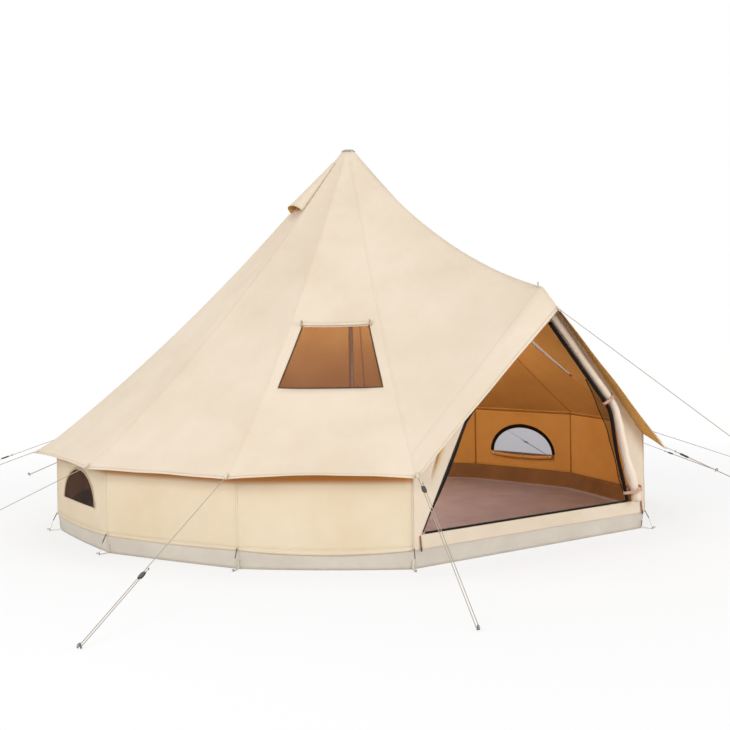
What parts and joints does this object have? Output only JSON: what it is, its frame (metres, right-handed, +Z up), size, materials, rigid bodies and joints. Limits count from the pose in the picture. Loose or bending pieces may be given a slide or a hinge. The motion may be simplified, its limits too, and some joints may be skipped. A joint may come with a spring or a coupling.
{
  "type": "bell tent",
  "caption": "cotton bell tent on one centre pole, with a framed A-shaped front door, zipped-in groundsheet, net windows, guy ropes and pegs",
  "frame": {"origin": "on the ground under the centre pole, on the groundsheet's underside", "axes": "+Z up; -Y out of the door; +X to the right of someone who looks along +Y, into the door"},
  "size_m": [7.2787, 7.9257, 2.5033],
  "materials": {
    "canvas": "woven cotton, sand coloured, matt",
    "groundsheet": "coated cloth, grey beige, slight sheen",
    "netting": "fine insect netting, dark brown",
    "tape": "woven cotton tape",
    "steel": "zinc plated tube and wire",
    "plastic": "moulded, black",
    "cap_plastic": "moulded, grey green",
    "zip_coil": "nylon coil on tape, dark brown",
    "rope": "braided cord, red beige, round a steel peg"
  },
  "bodies": {
    "tent": {"groundsheet": "groundsheet", "wall_canvas": "canvas", "wall_window_flap_right": "canvas", "wall_window_flap_left": "canvas", "roof_canvas": "canvas", "roof_window_flap_right": "canvas", "roof_window_flap_left": "canvas", "vent_hood_right": "canvas", "vent_hood_left": "canvas", "door_surround": "canvas", "canvas_door_roll": "canvas", "wall_window_net_right": "netting", "wall_window_net_left": "netting", "roof_window_net_right": "netting", "roof_window_net_left": "netting", "vent_net_right": "netting", "vent_net_left": "netting", "net_door_roll": "netting", "door_tie_upper": "tape", "door_tie_lower": "tape", "centre_pole_lower": "steel", "centre_pole_upper": "steel", "door_pole_right_lower": "steel", "door_pole_right_upper": "steel", "door_pole_left_lower": "steel", "door_pole_left_upper": "steel", "door_pole_apex": "steel", "centre_pole_foot": "plastic", "centre_pole_crown": "plastic", "peak_cap": "cap_plastic", "door_zip_tape": "zip_coil", "sill_zip_tape": "zip_coil", "guy_rope_01": "rope", "guy_rope_02": "rope", "guy_rope_03": "rope", "guy_rope_04": "rope", "guy_rope_05": "rope", "guy_rope_06": "rope", "guy_rope_07": "rope", "guy_rope_08": "rope", "guy_rope_09": "rope", "guy_rope_10": "rope", "guy_rope_11": "rope", "guy_rope_12": "rope", "guy_rope_13": "rope"},
    "door_zip_slider": {"door_zip_slider": "plastic"},
    "sill_zip_slider": {"sill_zip_slider": "plastic"},
    "guy_tensioner_01": {"guy_tensioner_01": "plastic"},
    "guy_tensioner_02": {"guy_tensioner_02": "plastic"},
    "guy_tensioner_03": {"guy_tensioner_03": "plastic"},
    "guy_tensioner_04": {"guy_tensioner_04": "plastic"},
    "guy_tensioner_05": {"guy_tensioner_05": "plastic"},
    "guy_tensioner_06": {"guy_tensioner_06": "plastic"},
    "guy_tensioner_07": {"guy_tensioner_07": "plastic"},
    "guy_tensioner_08": {"guy_tensioner_08": "plastic"},
    "guy_tensioner_09": {"guy_tensioner_09": "plastic"},
    "guy_tensioner_10": {"guy_tensioner_10": "plastic"},
    "guy_tensioner_11": {"guy_tensioner_11": "plastic"},
    "guy_tensioner_12": {"guy_tensioner_12": "plastic"},
    "guy_tensioner_13": {"guy_tensioner_13": "plastic"}
  },
  "joints": [
    {"name": "door_zip_travel", "type": "slide", "parent": "tent", "child": "door_zip_slider", "axis": [-0.7159, 0.0213, -0.6979], "range_m": [0, 0.62]},
    {"name": "sill_zip_travel", "type": "slide", "parent": "tent", "child": "sill_zip_slider", "axis": [-1, 0, 0], "range_m": [0, 1.42]},
    {"name": "tensioner_travel_01", "type": "slide", "parent": "tent", "child": "guy_tensioner_01", "axis": [0.4378, -0.8032, -0.4041], "range_m": [-0.02, 0.95]},
    {"name": "tensioner_travel_02", "type": "slide", "parent": "tent", "child": "guy_tensioner_02", "axis": [0.7864, -0.528, -0.3208], "range_m": [-0.02, 0.42]},
    {"name": "tensioner_travel_03", "type": "slide", "parent": "tent", "child": "guy_tensioner_03", "axis": [0.9413, -0.1047, -0.3208], "range_m": [-0.02, 0.42]},
    {"name": "tensioner_travel_04", "type": "slide", "parent": "tent", "child": "guy_tensioner_04", "axis": [0.8832, 0.3422, -0.3208], "range_m": [-0.02, 0.42]},
    {"name": "tensioner_travel_05", "type": "slide", "parent": "tent", "child": "guy_tensioner_05", "axis": [0.625, 0.7116, -0.3208], "range_m": [-0.02, 0.85]},
    {"name": "tensioner_travel_06", "type": "slide", "parent": "tent", "child": "guy_tensioner_06", "axis": [0.2253, 0.92, -0.3208], "range_m": [-0.02, 0.42]},
    {"name": "tensioner_travel_07", "type": "slide", "parent": "tent", "child": "guy_tensioner_07", "axis": [-0.2253, 0.92, -0.3208], "range_m": [-0.02, 0.42]},
    {"name": "tensioner_travel_08", "type": "slide", "parent": "tent", "child": "guy_tensioner_08", "axis": [-0.625, 0.7116, -0.3208], "range_m": [-0.02, 0.85]},
    {"name": "tensioner_travel_09", "type": "slide", "parent": "tent", "child": "guy_tensioner_09", "axis": [-0.8832, 0.3422, -0.3208], "range_m": [-0.02, 0.42]},
    {"name": "tensioner_travel_10", "type": "slide", "parent": "tent", "child": "guy_tensioner_10", "axis": [-0.9413, -0.1047, -0.3208], "range_m": [-0.02, 0.42]},
    {"name": "tensioner_travel_11", "type": "slide", "parent": "tent", "child": "guy_tensioner_11", "axis": [-0.7864, -0.528, -0.3208], "range_m": [-0.02, 0.42]},
    {"name": "tensioner_travel_12", "type": "slide", "parent": "tent", "child": "guy_tensioner_12", "axis": [-0.4378, -0.8032, -0.4041], "range_m": [-0.02, 0.95]},
    {"name": "tensioner_travel_13", "type": "slide", "parent": "tent", "child": "guy_tensioner_13", "axis": [0, -0.8686, -0.4956], "range_m": [-0.02, 0.95]}
  ]
}
